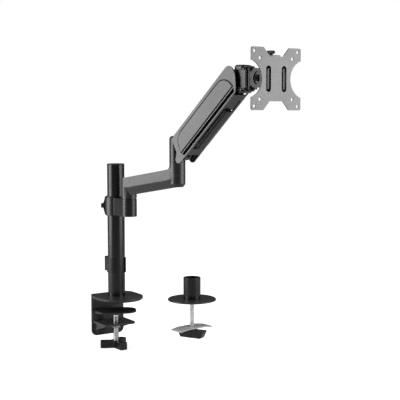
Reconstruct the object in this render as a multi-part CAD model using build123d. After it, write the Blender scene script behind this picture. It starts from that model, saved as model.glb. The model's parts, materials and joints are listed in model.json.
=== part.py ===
from build123d import *
import math
import os

os.makedirs("parts", exist_ok=True)

# ---- Driving dimensions: millimetres and degrees ----

# Fits
run_gap = 0.15          # radial gap between a pin and the bore it turns in
seat_gap = 0.05         # radial gap of a fixed joint inside one body
face_gap = 0.3          # gap between flat faces that slide past each other
bolt_gap = 0.3          # radial gap round a bolt's shank
cut_past = 60.0         # how far a cut runs past the piece that it cuts

# Pole
pole_radius = 19.0
pole_wall = 2.0
pole_top = 298.0
pole_cap_height = 3.0
pole_cap_plug = 12.0
foot_plug_height = 20.0
foot_bolt_radius = 5.0
foot_bolt_head = 9.0            # radius of the countersunk head
foot_bolt_head_depth = 4.0

# Desk plate and jaw of the clamp
desk_pad_thickness = 1.5
desk_pad_inset = 2.0
desk_plate_thickness = 4.5
desk_plate_half_width = 51.0
desk_plate_front = 66.0         # front of the plate, ahead of the pole axis
back_plate_offset = 47.0        # outer face of the back plate, behind the pole axis
back_plate_half_width = 40.0
back_plate_depth = 90.0         # how far the back plate reaches below the desk top
back_plate_corner = 12.0
jaw_top = -55.0
jaw_half_width = 38.0
jaw_reach = 21.0
jaw_thickness = 4.0
jaw_flange_drop = 26.0
jaw_gusset_thickness = 2.5
jaw_bolt_spacing = 40.0
jaw_bolt_radius = 4.0
jaw_nut_height = 6.5
jaw_nut_across = 13.0

# Clamp screw, pressure pad and knob
clamp_screw_back = 4.5          # clamp screw behind the pole axis
screw_radius = 6.0
thread_depth = 0.6
groove_pitch = 3.0
groove_width = 1.2
screw_nut_across = 19.0
screw_nut_height = 8.0
pad_top = -27.5
pad_length = 90.0
pad_width = 48.0
pad_rim = 0.8                   # pad plate beyond its rubber
pad_thickness = 3.0
pad_rubber_thickness = 2.5
pad_turn = -22.0
pad_socket_radius = 9.0
pad_socket_depth = 4.0
screw_head_radius = 7.7
socket_lip = 1.5
knob_top = -96.0
knob_height = 16.5
knob_hub_radius = 10.0
knob_reach = 35.0
knob_lobe_width = 15.0
knob_turn = 34.0
knob_floor = 4.0                # closed end of the knobs' screw holes

# Cable clip on the pole
clip_bottom = 58.0
clip_height = 32.0
clip_wall = 2.2
clip_channel = 17.0             # inner size of the square cable channel
clip_mouth = 5.0                # slit that cables are pressed in through

# Collar on the pole
collar_bottom = 187.0
collar_height = 37.5
collar_ring_radius = 25.0
sleeve_wall = 2.0
sleeve_lip = 2.5                # lips of the sleeve above and below the collar
bracket_reach = 60.0            # pole axis to the lower arm's pivot
barrel_radius = 16.5            # pivot barrels of the collar, elbow and shoulder
barrel_wall = 4.0
collar_boss_out = 2.0           # screw boss beyond the ring
collar_boss_half = 8.0
collar_screw_level = 19.0       # above the collar's underside
collar_screw_radius = 3.0
collar_screw_head = 5.5         # radius and height of the head
collar_screw_turn = 147.0       # where the screw points, seen from above
brake_shoe_length = 3.0

# Pivots of the two arms
spindle_radius = 8.0
bush_wall = 2.0
bush_flange = 2.0
cap_height = 2.0
nut_room = 9.0                  # recess under a pivot for its washer and screw
washer_height = 2.5
pivot_screw_radius = 3.0
pivot_screw_head = 6.0
pivot_screw_head_height = 3.5
pivot_boss = 5.9                # lower arm's keel above its boss

# Lower arm
arm_heading = 18.4              # rest heading of the arms, to the right of straight ahead
lower_reach = 135.0             # pivot to elbow
lower_slope = 10.0
lower_height = 38.0
lower_keel_half = 11.0          # half width of the narrowed underside
lower_side_height = 21.0        # upright part of each side
lower_wall = 3.0
lower_lid = 4.0                 # solid top over the cable channel
lower_end = 24.0                # solid ends beside the pivots
lower_cover_gap = 0.2
elbow_height = 50.5             # underside of the elbow barrel to the shoulder
elbow_round = 8.0
elbow_cove = 8.0                # hollow rounding from the arm's top up to the barrel
lower_crease = 1.0              # depth of the groove along each side
elbow_flange = 1.0

# Shoulder and parallelogram
main_pivot_rise = 15.5          # main pivot above the shoulder's underside
main_pivot_ahead = 19.1         # main pivot, ahead of the elbow axis
link_pivot_back = 3.0           # upper pivot, behind the main pivot
link_pivot_rise = 24.0
shoulder_crown = 14.5           # top of the shoulder above the upper pivot
shoulder_round = 7.0
lift_angle = 45.5               # rest slope of the spring arm
beam_length = 188.0             # pivot to pivot
main_pin_radius = 4.0
link_pin_radius = 3.0
pin_head = 1.0                  # pins beyond the outer faces of what they hold
main_eye_radius = 11.0
link_eye_radius = 8.0
tongue_half = 9.0
link_wall = 2.4
link_eye = 6.5
link_side_gap = 0.6
web_wall = 3.0
web_side_gap = 1.0
beam_eye = 8.5

# Spring arm covers, in the beam's own directions from the main pivot
cover_half_width = 23.5
cover_wall = 2.5
cover_top = 34.3
cover_bottom = -15.7
cover_lip = 3.4                 # lips that the top and end covers sit between
cover_joint = 0.2               # gap beside the top and end covers
lobe_radius = 7.7
lobe_back = 4.0
panel_bottom = -4.8
panel_inset = 6.0               # panel's upper edge below the cover's
panel_recess = 1.2
panel_gap = 2.0                 # groove round the panel
panel_proud = 1.0
panel_round = 24.0              # rounding of the panel's upper end
cover_slot_height = 6.2         # long open slot under the panel
cover_boss_radius = 3.6
cover_screws = [(40.0, 20.0), (beam_length - 30.0, 20.0)]
trough_half = 10.5
trough_drop = 5.0
trough_wall = 2.0
trough_start = 38.0
trough_end = 47.0               # trough's upper end, short of the upper pivot
end_cover_start = 21.0          # upper end cover's lower end, short of the upper pivot
end_cover_tongue = 1.2          # thickness of the end cover's recessed tongue

# Gas spring
spring_radius = 9.0
spring_rod_radius = 3.5
spring_length = 96.0
spring_tail = 9.0
spring_lug = 6.5
spring_plunge = 46.0            # rod inside the tube at rest
spring_mount = 150.0            # spring pin along the upper link
spring_mount_drop = 6.0
anchor_drop = 12.0              # anchor roller below the upper pivot
anchor_ahead = 1.5
anchor_pin_radius = 2.0
anchor_roller_radius = 4.0
anchor_slot_half = 5.0          # half width of the slot that the spring's foot works in
foot_gap = 0.6                  # rod's foot to its roller, the linkage's open pivot

# Head
carrier_reach = 34.1            # upper main pivot to swivel axis
head_rise = 15.4                # head centre above the upper main pivot
fork_half_height = 27.0
fork_half_width = 16.5
fork_column_half = 14.5
fork_wall_short = 4.0           # side walls of the fork end this far behind the swivel axis
fork_top_root = 3.0             # upper arm's root, ahead of the upper main pivot
fork_low_root = 12.0            # lower arm's root, ahead of the upper main pivot
fork_round = 5.0                # outer edges of the fork's two arms
ear_step = 6.5                  # ears below and above the fork's outer faces
ear_thickness = 4.0
ear_radius = 11.0
swivel_pin_radius = 4.0
swivel_pin_head = 6.0
swivel_washer = 1.1
swivel_barrel_radius = 10.0
swivel_barrel_room = 13.5
tilt_reach = 39.0               # swivel axis to tilt axis
tilt_block = 36.0
tilt_corner = 9.0               # corner radius of the tilt block's cheeks
tilt_half_width = 16.0
tilt_bridge_half = 9.0          # half width of the bridge from the barrel to the cheeks
tilt_dish_radius = 12.5         # round dish in each cheek round the tilt bolt
tilt_dish_depth = 2.5
tilt_hub_half = 8.7
tilt_hub_radius = 15.0
tilt_bolt_radius = 4.0
tilt_bolt_head = 6.4
tilt_bolt_head_height = 5.0
rotation_radius = 6.0
rotation_nut_radius = 9.0
rotation_nut_height = 2.0
flange_radius = 17.0
flange_thickness = 4.0

# Screen plate and its hook bracket
plate_drop = 3.0                # hole pattern's centre below the head centre
plate_standoff = 5.9            # bracket's front to the plate's back
plate_thickness = 2.5
plate_half = 57.5
hole_square_outer = 100.0
hole_square_inner = 75.0
screen_hole_radius = 3.1
slot_offset = 18.0
slot_width = 11.0
slot_height = 48.0
hook_travel = 4.0               # how far the plate lifts off its hooks
bracket_thickness = 3.0
bracket_half = 30.0
bracket_shelf_half = 16.0
bracket_rise = 41.0             # bracket's top above the hole pattern's centre
rail_thickness = 3.5
rail_sunk = 1.0                 # rails end this far behind the plate's front
thumb_screw_radius = 2.5
thumb_knob_radius = 8.0
thumb_knob_height = 5.5
thumb_lug_half = 9.0

# Grommet base
grommet_x = 126.3
grommet_y = -112.8
grommet_disc_radius = 53.0
grommet_disc_thickness = 3.5
grommet_post_height = 50.4
grommet_post_cap = 4.0
grommet_rod_radius = 4.6
grommet_rod_length = 82.0
grommet_nut_across = 15.0
grommet_nut_height = 7.0
grommet_plate_top = -58.6
grommet_plate_length = 90.0
grommet_plate_width = 34.0
grommet_plate_thickness = 3.0
grommet_plate_bend = 3.0        # drop of the plate's ends
grommet_plate_turn = 7.0
grommet_knob_length = 66.0
grommet_knob_width = 18.0
grommet_knob_height = 17.0
grommet_knob_neck = 4.0
grommet_knob_turn = -62.0

# ---- Places worked out from the dimensions ----

desk_plate_top = desk_pad_thickness + desk_plate_thickness
back_inner = back_plate_offset - desk_plate_thickness
jaw_low = jaw_top - jaw_thickness
jaw_bolt_level = jaw_low - jaw_flange_drop / 2
jaw_bolts_x = (-jaw_bolt_spacing / 2, jaw_bolt_spacing / 2)
collar_top = collar_bottom + collar_height
sleeve_radius = pole_radius + run_gap + sleeve_wall
sleeve_bore = sleeve_radius + run_gap
bush_bore = spindle_radius + run_gap
bush_outer = bush_bore + bush_wall
slope = math.tan(math.radians(lower_slope))
boss_low = collar_top + bush_flange + face_gap
lower_bottom = boss_low + pivot_boss
lower_top = lower_bottom + lower_height
elbow_bottom = lower_bottom + slope * lower_reach
shoulder_bottom = elbow_bottom + elbow_height
elbow_top = shoulder_bottom - elbow_flange - face_gap
main_pivot_height = shoulder_bottom + main_pivot_rise
link_pivot = (main_pivot_ahead - link_pivot_back, main_pivot_height + link_pivot_rise)
shoulder_top = link_pivot[1] + shoulder_crown
anchor = (link_pivot[0] + anchor_ahead, link_pivot[1] - anchor_drop)
link_inner = tongue_half + link_side_gap
link_outer = link_inner + link_wall
web_inner = link_outer + web_side_gap
web_outer = web_inner + web_wall
cover_inner = cover_half_width - cover_wall
cover_mid = cover_inner - cover_lip - cover_joint      # half width of the pieces between the covers
slot_top = panel_bottom - panel_gap

beam_run = beam_length * math.cos(math.radians(lift_angle))
beam_rise = beam_length * math.sin(math.radians(lift_angle))
upper_pivot = (main_pivot_ahead + beam_run, main_pivot_height + beam_rise)
upper_link_pivot = (upper_pivot[0] - link_pivot_back, upper_pivot[1] + link_pivot_rise)
swivel_ahead = upper_pivot[0] + carrier_reach
head_height = upper_pivot[1] + head_rise
fork_low = head_height - fork_half_height
fork_top = head_height + fork_half_height
ear_low = fork_low + ear_step
ear_top = fork_top - ear_step
plate_height = head_height - plate_drop
corner_reach = (tilt_block / 2 - tilt_corner) * math.sqrt(2) + tilt_corner
flange_far = tilt_reach + corner_reach + 2 * face_gap + flange_thickness
bracket_back = flange_far + face_gap
bracket_front = bracket_back + bracket_thickness
plate_back = bracket_front + plate_standoff
plate_front = plate_back + plate_thickness

arm_frame = Location((0, -bracket_reach, 0), (0, 0, arm_heading - 90))
elbow_frame = arm_frame * Location((lower_reach, 0, 0))
beam_frame = elbow_frame * Location((main_pivot_ahead, 0, main_pivot_height)) * Rotation(0, -lift_angle, 0)
link_frame = elbow_frame * Location((link_pivot[0], 0, link_pivot[1])) * Rotation(0, -lift_angle, 0)
swivel_frame = Location((elbow_frame * Location((swivel_ahead, 0, 0))).position)
kit_frame = Location((grommet_x, grommet_y, 0))
clamp_frame = Location((0, clamp_screw_back, 0))


# ---- Small helpers ----

def save(name, shape, place=Location()):
    export_step(place * shape, f"parts/{name}.step")


on_base = (Align.CENTER, Align.CENTER, Align.MIN)


def rod(radius, low, high, x=0.0, y=0.0):
    return Pos(x, y, low) * Cylinder(radius, high - low, align=on_base)


def ring(outer, inner, low, high, x=0.0, y=0.0):
    return rod(outer, low, high, x, y) - rod(inner, low - 1, high + 1, x, y)


def cone(low_radius, high_radius, low, high):
    return Pos(0, 0, low) * Cone(low_radius, high_radius, high - low, align=on_base)


def block(x, y, z):
    """A box from its (low, high) limits along each axis."""
    size = [limits[1] - limits[0] for limits in (x, y, z)]
    centre = [(limits[0] + limits[1]) / 2 for limits in (x, y, z)]
    return Pos(*centre) * Box(*size)


def outline(*corners):
    """A closed face from (x, y, corner radius) corners."""
    points = [(x, y) for x, y, radius in corners]
    return make_face(FilletPolyline(*points, radius=[radius for x, y, radius in corners], close=True))


def flat(face, low, high):
    """A flat shape raised from low to high."""
    return extrude(Pos(0, 0, low) * face, amount=high - low)


def upright(face, near, far):
    """An XZ shape given its width between two Y values."""
    return extrude(Plane.XZ.offset(-far) * face, amount=far - near)


def cross_rod(radius, half, x, z, middle=0.0):
    """A rod across the arm, along Y."""
    return Pos(x, middle, z) * Rot(90, 0, 0) * Cylinder(radius, 2 * half)


def both_sides(near, far, face):
    """The same upright shape on both sides of the arm's middle plane."""
    return upright(face, near, far) + upright(face, -far, -near)


def hexagon(across, low, high, x=0.0, y=0.0):
    return flat(Pos(x, y) * RegularPolygon(across / 2, 6, major_radius=False), low, high)


def grooved_rod(radius, low, high, first, count):
    """A screw's shank with count grooves below the level first."""
    shank = rod(radius, low, high)
    for number in range(count):
        level = first - groove_pitch * number
        shank -= ring(radius + 1, radius - thread_depth, level - groove_width, level)
    return shank


def along_y(radius, near, far):
    """A rod running forward from the swivel axis at the head's height."""
    return Pos(0, -(near + far) / 2, head_height) * Rot(90, 0, 0) * Cylinder(radius, far - near)


# ---- Desk clamp and pole ----

def desk_outline(inset):
    """Plan of the desk plate, up to the inner face of its back plate."""
    half = desk_plate_half_width - inset
    neck = back_plate_half_width - inset
    centre = desk_plate_half_width - desk_plate_front
    back = back_inner - inset
    arc = ThreePointArc((half, centre), (0, centre - half), (-half, centre))
    sides = Polyline((-half, centre), (-half, back - 20), (-neck, back - 2), (-neck, back), (neck, back),
                     (neck, back - 2), (half, back - 20), (half, centre))
    return make_face(arc + sides)


def make_desk_clamp():
    save("desk_pad", flat(desk_outline(desk_pad_inset), 0, desk_pad_thickness))

    plate = flat(desk_outline(0.0), desk_pad_thickness, desk_plate_top)
    back = block((-back_plate_half_width, back_plate_half_width), (back_inner, back_plate_offset),
                 (-back_plate_depth, desk_plate_top))
    back = fillet(back.edges().filter_by(Axis.Y).group_by(Axis.Z)[0], back_plate_corner)
    fold = back.edges().filter_by(Axis.X).group_by(Axis.Z)[-1].sort_by(Axis.Y)[-1:]
    plate += fillet(fold, desk_plate_thickness - 0.5)
    bolt_hole = foot_bolt_radius + seat_gap
    head_top = desk_pad_thickness + foot_bolt_head_depth
    plate -= rod(bolt_hole, 0, desk_plate_top + 1)
    plate -= cone(foot_bolt_head, foot_bolt_radius, desk_pad_thickness, head_top)
    for x in jaw_bolts_x:
        plate -= cross_rod(jaw_bolt_radius + bolt_gap, cut_past, x, jaw_bolt_level, back_plate_offset)
    save("desk_plate", plate)

    plug_radius = pole_radius - pole_wall - seat_gap
    plug_top = desk_plate_top + foot_plug_height
    save("pole_foot_plug", ring(plug_radius, bolt_hole, desk_plate_top, plug_top))
    bolt = cone(foot_bolt_head - seat_gap, foot_bolt_radius - seat_gap, desk_pad_thickness, head_top)
    bolt += rod(foot_bolt_radius - seat_gap, desk_pad_thickness, plug_top - 2)
    bolt -= hexagon(6, desk_pad_thickness - 1, desk_pad_thickness + 2.5)
    save("pole_bolt", bolt)

    cap_low = pole_top - pole_cap_height
    save("pole", ring(pole_radius, pole_radius - pole_wall, desk_plate_top, cap_low))
    cap = rod(pole_radius, cap_low, pole_top)
    cap = fillet(cap.faces().sort_by(Axis.Z)[-1].edges(), pole_cap_height - 1)
    save("pole_cap", cap + rod(plug_radius, cap_low - pole_cap_plug, cap_low))


def make_cable_clip():
    inner = pole_radius + seat_gap
    outer = inner + clip_wall
    room = clip_channel / 2
    half = room + clip_wall
    back = outer + clip_channel
    shell = Circle(outer) + outline((-half, 0, 0.2), (half, 0, 0.2), (half, back, 3), (-half, back, 3))
    shell -= Circle(inner)
    channel_back = back - clip_wall
    shell -= outline((-room, outer, 1), (room, outer, 1), (room, channel_back, 1), (-room, channel_back, 1))
    shell -= Pos(half, (outer + back) / 2) * Rectangle(3 * clip_wall, clip_mouth)
    shell -= Rot(0, 0, -90) * Pos(outer, 0) * Rectangle(outer, 1.1 * outer)
    save("cable_clip", flat(shell, clip_bottom, clip_bottom + clip_height))


def make_jaw():
    flange_low = jaw_low - jaw_flange_drop
    flange_face = back_inner - jaw_thickness
    shelf = outline((-jaw_half_width, -jaw_reach, 9), (jaw_half_width, -jaw_reach, 9),
                    (jaw_half_width, back_inner, 0.5), (-jaw_half_width, back_inner, 0.5))
    jaw = flat(shelf, jaw_low, jaw_top)
    flange = outline((-jaw_half_width, jaw_low, 0.5), (jaw_half_width, jaw_low, 0.5),
                     (jaw_half_width - 4, flange_low, 10), (4 - jaw_half_width, flange_low, 10))
    jaw += upright(flange, flange_face, back_inner)
    gusset = make_face(Polyline((flange_face, jaw_low), (9 - jaw_reach, jaw_low),
                                (flange_face, flange_low + 8), close=True))
    for x in (-jaw_half_width + 5, jaw_half_width - 5):
        rib = extrude(Plane.YZ * gusset, amount=jaw_gusset_thickness)
        jaw += Pos(x - jaw_gusset_thickness / 2, 0, 0) * rib
    jaw -= clamp_frame * rod(screw_radius + 2 * bolt_gap, jaw_low - 1, jaw_top + 1)
    for x in jaw_bolts_x:
        jaw -= cross_rod(jaw_bolt_radius + bolt_gap, 2 * jaw_thickness, x, jaw_bolt_level, back_inner)
    save("lower_jaw", jaw)
    nut = hexagon(screw_nut_across, jaw_low - screw_nut_height, jaw_low)
    nut -= rod(screw_radius + run_gap, jaw_low - screw_nut_height - 1, jaw_low + 1)
    save("jaw_nut", nut, clamp_frame)

    bolts = []
    shank_end = flange_face - jaw_nut_height - 2
    for x in jaw_bolts_x:
        head = cross_rod(7, 2, x, jaw_bolt_level, back_plate_offset + 2)
        head -= cross_rod(2.6, 1.5, x, jaw_bolt_level, back_plate_offset + 3.5)
        middle = (shank_end + back_plate_offset) / 2
        shank = cross_rod(jaw_bolt_radius, back_plate_offset - middle, x, jaw_bolt_level, middle)
        bolts.append(head + shank)
        nut_plan = Pos(x, jaw_bolt_level) * RegularPolygon(jaw_nut_across / 2, 6, major_radius=False)
        nut = upright(nut_plan, flange_face - jaw_nut_height, flange_face)
        bolts.append(nut - cross_rod(jaw_bolt_radius + seat_gap, cut_past, x, jaw_bolt_level, flange_face))
    save("jaw_bolts", Compound(bolts))


def make_clamp_screw():
    rubber_low = pad_top - pad_rubber_thickness
    pad_low = rubber_low - pad_thickness
    socket_low = pad_low - pad_socket_depth
    oval = SlotOverall(pad_length, pad_width)
    turned = clamp_frame * Rot(0, 0, pad_turn)
    save("pad_rubber", flat(oval, rubber_low, pad_top), turned)
    pad = flat(offset(oval, pad_rim), pad_low, rubber_low)
    pad += rod(pad_socket_radius, socket_low, pad_low)
    pad += ring(pad_socket_radius, screw_radius + 1, socket_low - socket_lip, socket_low)
    pad -= rod(screw_head_radius + run_gap, socket_low, pad_low)
    save("pressure_pad", pad, turned)

    screw_top = pad_low - face_gap
    neck_low = socket_low - socket_lip - 2
    first = neck_low - groove_pitch
    grooves = int((first - knob_top) / groove_pitch)
    screw = grooved_rod(screw_radius, knob_top - knob_height + knob_floor, screw_top, first, grooves)
    screw += rod(screw_head_radius, socket_low + face_gap, screw_top)
    save("clamp_screw", screw, clamp_frame)

    knob_low = knob_top - knob_height
    knob = rod(knob_hub_radius, knob_low, knob_top)
    lobe = outline((0, -knob_lobe_width / 2, 0.5), (knob_reach, -knob_lobe_width * 0.62, 5),
                   (knob_reach, knob_lobe_width * 0.62, 5), (0, knob_lobe_width / 2, 0.5))
    for count in range(3):
        knob += Rot(0, 0, knob_turn + 120 * count) * flat(lobe, knob_low, knob_top - 1)
    knob -= rod(screw_radius + seat_gap, knob_low + knob_floor, knob_top + 1)
    save("clamp_knob", knob, clamp_frame)


# ---- Collar ----

def make_collar():
    pole_gap = pole_radius + run_gap
    sleeve_low = collar_bottom - sleeve_lip
    sleeve_top = collar_top + sleeve_lip
    sleeve = ring(sleeve_radius, pole_gap, sleeve_low, sleeve_top)
    sleeve += ring(sleeve_radius + sleeve_wall, pole_gap, sleeve_low, collar_bottom - face_gap)
    sleeve += ring(sleeve_radius + sleeve_wall, pole_gap, collar_top + face_gap, sleeve_top)
    save("height_sleeve", sleeve)

    plan = Circle(collar_ring_radius) + Pos(0, -bracket_reach) * Circle(barrel_radius)
    plan += Pos(0, -bracket_reach / 2) * Rectangle(2 * barrel_radius, bracket_reach)
    collar = flat(plan, collar_bottom, collar_top)
    level = collar_bottom + collar_screw_level
    boss_end = collar_ring_radius + collar_boss_out
    boss_profile = make_face(Polyline((sleeve_bore, collar_bottom + 1.5), (sleeve_bore, collar_top - 1.5),
                                      (collar_ring_radius - 1, collar_top - 1.5), (boss_end, level + 6),
                                      (boss_end, level - 6), (collar_ring_radius - 1, collar_bottom + 1.5),
                                      close=True))
    turned = Rot(0, 0, collar_screw_turn)
    collar += turned * upright(boss_profile, -collar_boss_half, collar_boss_half)
    collar -= rod(sleeve_bore, collar_bottom - 1, collar_top + 1)
    collar -= rod(bush_outer + seat_gap, collar_bottom, collar_top + 1, 0, -bracket_reach)
    collar -= rod(barrel_radius - barrel_wall, collar_bottom - 1, collar_bottom + nut_room, 0, -bracket_reach)

    outwards = Pos(0, 0, level) * Rot(0, 90, 0)
    hole = outwards * Pos(0, 0, sleeve_radius - 3) * Cylinder(
        collar_screw_radius + seat_gap, boss_end - sleeve_radius + 6, align=on_base)
    save("collar", collar - turned * hole)

    shank_start = sleeve_bore + brake_shoe_length
    shank = outwards * Pos(0, 0, shank_start) * Cylinder(
        collar_screw_radius, boss_end - shank_start, align=on_base)
    head = outwards * Pos(0, 0, boss_end) * Cylinder(collar_screw_head, collar_screw_head, align=on_base)
    socket = outwards * Pos(0, 0, boss_end + 3) * extrude(RegularPolygon(2.5, 6), amount=4)
    save("collar_screw", turned * (shank + head - socket))
    shoe = outwards * Pos(0, 0, sleeve_bore + face_gap) * Cylinder(
        collar_screw_radius, brake_shoe_length - face_gap, align=on_base)
    save("brake_shoe", turned * shoe)

    place = Location((0, -bracket_reach, 0))
    bush = ring(bush_outer, bush_bore, collar_bottom + nut_room + 1, collar_top)
    bush += ring(barrel_radius - 2, bush_bore, collar_top, collar_top + bush_flange)
    save("pivot_bush", bush, place)
    cap = rod(barrel_radius - barrel_wall - seat_gap, collar_bottom, collar_bottom + cap_height)
    save("pivot_cap", cap, place)


# ---- Lower arm ----

def spindle_parts(underside, high):
    """Spindle above a pivot's nut recess, and the washer and screw that hold it."""
    low = underside + nut_room - face_gap
    spindle = rod(spindle_radius, low, high)
    washer_low = low - washer_height
    washer = ring(barrel_radius - barrel_wall - 1, pivot_screw_radius + 0.2, washer_low, low)
    screw = rod(pivot_screw_head, washer_low - pivot_screw_head_height, washer_low)
    screw += rod(pivot_screw_radius, washer_low, low)
    screw -= hexagon(5, washer_low - pivot_screw_head_height - 1, washer_low - 1)
    return spindle, Compound([washer, screw])


def make_lower_arm():
    middle = lower_bottom + lower_height / 2
    leaning = Pos(0, 0, middle) * Rot(0, -lower_slope, 0) * Pos(0, 0, -middle)
    side_low = lower_top - lower_side_height
    section = make_face(Polyline((-barrel_radius, lower_top), (barrel_radius, lower_top),
                                 (barrel_radius, side_low), (lower_keel_half, lower_bottom),
                                 (-lower_keel_half, lower_bottom), (-barrel_radius, side_low), close=True))
    arm = leaning * extrude(Plane.YZ * section, amount=lower_reach)
    arm = arm & block((0, lower_reach), (-cut_past, cut_past),
                      (lower_bottom - cut_past, elbow_bottom + lower_height + cut_past))
    pivot_end = rod(barrel_radius, boss_low, lower_top + lower_height)
    above = block((-cut_past, lower_reach), (-cut_past, cut_past), (lower_top, lower_top + 3 * lower_height))
    arm = arm + (pivot_end - leaning * above)
    barrel = rod(barrel_radius, elbow_bottom, elbow_top, lower_reach)
    arm += fillet(barrel.faces().sort_by(Axis.Z)[0].edges(), elbow_round)
    cove_low = lower_top + slope * (lower_reach - barrel_radius)
    cove_top = cove_low + elbow_cove
    cove_radius = barrel_radius + elbow_cove
    cove = ring(cove_radius, barrel_radius - 1, cove_low - 4, cove_top, lower_reach)
    cove -= Pos(lower_reach, 0, cove_top) * Torus(cove_radius, elbow_cove)
    arm += cove & block((0, lower_reach), (-barrel_radius, barrel_radius), (cove_low - 5, cove_top + 1))

    crease_along = (lower_end / 3, lower_reach - lower_end / 2)
    crease_across = (barrel_radius - lower_crease, barrel_radius + 1)
    crease = block(crease_along, crease_across, (side_low - 0.5, side_low + 0.7))
    arm -= leaning * crease
    arm -= leaning * mirror(crease, Plane.XZ)

    channel_half = lower_keel_half - lower_wall
    channel_end = lower_reach - lower_end
    arm -= leaning * block((lower_end, channel_end), (-channel_half, channel_half),
                           (lower_bottom - cut_past, lower_top - lower_lid))
    cover = block((lower_end + lower_cover_gap, channel_end - lower_cover_gap),
                  (lower_cover_gap - channel_half, channel_half - lower_cover_gap),
                  (lower_bottom, lower_bottom + cap_height))
    save("lower_arm_cover", leaning * cover, arm_frame)

    spindle_high = lower_top - 2 * bush_wall - 2.5
    arm -= rod(spindle_radius + seat_gap, boss_low - 1, spindle_high + 0.5)
    arm -= rod(bush_outer + seat_gap, elbow_bottom, elbow_top + 1, lower_reach)
    arm -= rod(barrel_radius - barrel_wall, elbow_bottom - 1, elbow_bottom + nut_room, lower_reach)
    save("lower_arm", arm, arm_frame)

    spindle, fixing = spindle_parts(collar_bottom, spindle_high)
    save("pivot_spindle", spindle, arm_frame)
    save("pivot_screw", fixing, arm_frame)

    bush = ring(bush_outer, bush_bore, elbow_bottom + nut_room + 1, elbow_top)
    bush += ring(barrel_radius - face_gap, bush_bore, elbow_top, elbow_top + elbow_flange)
    save("elbow_bush", bush, elbow_frame)
    cap = rod(barrel_radius - barrel_wall - seat_gap, elbow_bottom, elbow_bottom + cap_height)
    save("elbow_cap", cap, elbow_frame)


# ---- Shoulder ----

def make_shoulder():
    spindle_high = main_pivot_height - main_pin_radius - 2
    spindle, fixing = spindle_parts(elbow_bottom, spindle_high)
    save("elbow_spindle", spindle, elbow_frame)
    save("elbow_screw", fixing, elbow_frame)

    post = rod(barrel_radius, shoulder_bottom, shoulder_top)
    post = fillet(post.faces().sort_by(Axis.Z)[-1].edges(), shoulder_round)
    side_cut = block((7.5, cut_past), (tongue_half, cut_past), (shoulder_bottom + 3, shoulder_top + 1))
    post -= side_cut
    post -= mirror(side_cut, Plane.XZ)
    link_x, link_z = link_pivot
    neck = make_face(Polyline((4, main_pivot_height - main_eye_radius),
                              (main_pivot_ahead, main_pivot_height - main_eye_radius),
                              (main_pivot_ahead + main_eye_radius, main_pivot_height),
                              (link_x + link_eye_radius, link_z), (link_x, link_z + link_eye_radius),
                              (4, link_z + link_eye_radius), close=True))
    neck += Pos(main_pivot_ahead, main_pivot_height) * Circle(main_eye_radius)
    neck += Pos(link_x, link_z) * Circle(link_eye_radius)
    post += upright(neck, -tongue_half, tongue_half)
    post -= block((link_x - link_eye_radius + 2, cut_past), (-anchor_slot_half, anchor_slot_half),
                  (main_pivot_height - main_pin_radius, shoulder_top + 1))
    post -= rod(spindle_radius + seat_gap, shoulder_bottom - 1, spindle_high)
    post -= cross_rod(main_pin_radius + seat_gap, cut_past, main_pivot_ahead, main_pivot_height)
    post -= cross_rod(link_pin_radius + seat_gap, cut_past, link_x, link_z)
    post -= cross_rod(anchor_pin_radius + seat_gap, cut_past, *anchor)
    save("shoulder_post", post, elbow_frame)

    main_pin = cross_rod(main_pin_radius, web_outer + pin_head, main_pivot_ahead, main_pivot_height)
    link_pin = cross_rod(link_pin_radius, link_outer + link_side_gap, link_x, link_z)
    save("shoulder_pins", Compound([main_pin, link_pin]), elbow_frame)
    roller = cross_rod(anchor_roller_radius, anchor_slot_half - 0.4, *anchor)
    roller -= cross_rod(anchor_pin_radius + seat_gap, cut_past, *anchor)
    save("spring_anchor", Compound([cross_rod(anchor_pin_radius, tongue_half, *anchor), roller]), elbow_frame)


# ---- Spring arm ----

def cover_outline():
    """Side view of the covers, with a round lobe at the lower end."""
    lobe_z = cover_bottom + lobe_radius
    lobe_end = math.radians(100)
    lobe_top = (lobe_radius * math.cos(lobe_end) - lobe_back, lobe_z + lobe_radius * math.sin(lobe_end))
    corners = [(beam_length + 4.0, cover_bottom, 12), (beam_length + 25.0, 7.5, 30),
               (beam_length + 29.5, 22.0, 8), (beam_length + 27.0, cover_top, 10), (21.5, cover_top, 5),
               (12.5, cover_top - 2.5, 6), (2.8, 5.3, 4)]
    edge = FilletPolyline((-lobe_back, cover_bottom), *[(u, v) for u, v, radius in corners], lobe_top,
                          radius=[radius for u, v, radius in corners])
    lobe = ThreePointArc(lobe_top, (-lobe_back - lobe_radius, lobe_z), (-lobe_back, cover_bottom))
    return make_face(edge + lobe)


def panel_outline(inset):
    low = panel_bottom + inset
    top = cover_top - panel_inset - inset
    end = beam_length + 7 - inset
    return outline((9.4 + inset, low, 1.0), (end, low, 2.0), (end, top, panel_round - inset),
                   (40, top, 30), (21 + inset, 21, 20))


def side_cover(side):
    """One side cover: side is -1 for the left-hand cover and +1 for the right-hand one."""
    cover = upright(cover_outline(), cover_inner, cover_half_width)
    lip_sides = (cover_inner - cover_lip, cover_inner)
    cover += block((36, beam_length + 8), lip_sides, (cover_top - cover_wall, cover_top))
    cover += block((16, beam_length - 6), lip_sides, (cover_bottom, cover_bottom + cover_wall))
    cover -= upright(panel_outline(0), cover_half_width - panel_recess, cover_half_width + 1)
    slot_low = slot_top - cover_slot_height
    slot = outline((14, slot_low, 0.5), (beam_length + 1, slot_low, 2.5), (beam_length + 5, slot_top, 0.5),
                   (10.5, slot_top, 0.5))
    cover -= upright(slot, cover_inner - 1, cover_half_width + 1)
    boss_half = (cover_inner - web_outer) / 2
    for u, v in cover_screws:
        cover += cross_rod(cover_boss_radius, boss_half, u, v, web_outer + boss_half)
    return mirror(cover, Plane.XZ) if side < 0 else cover


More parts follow.
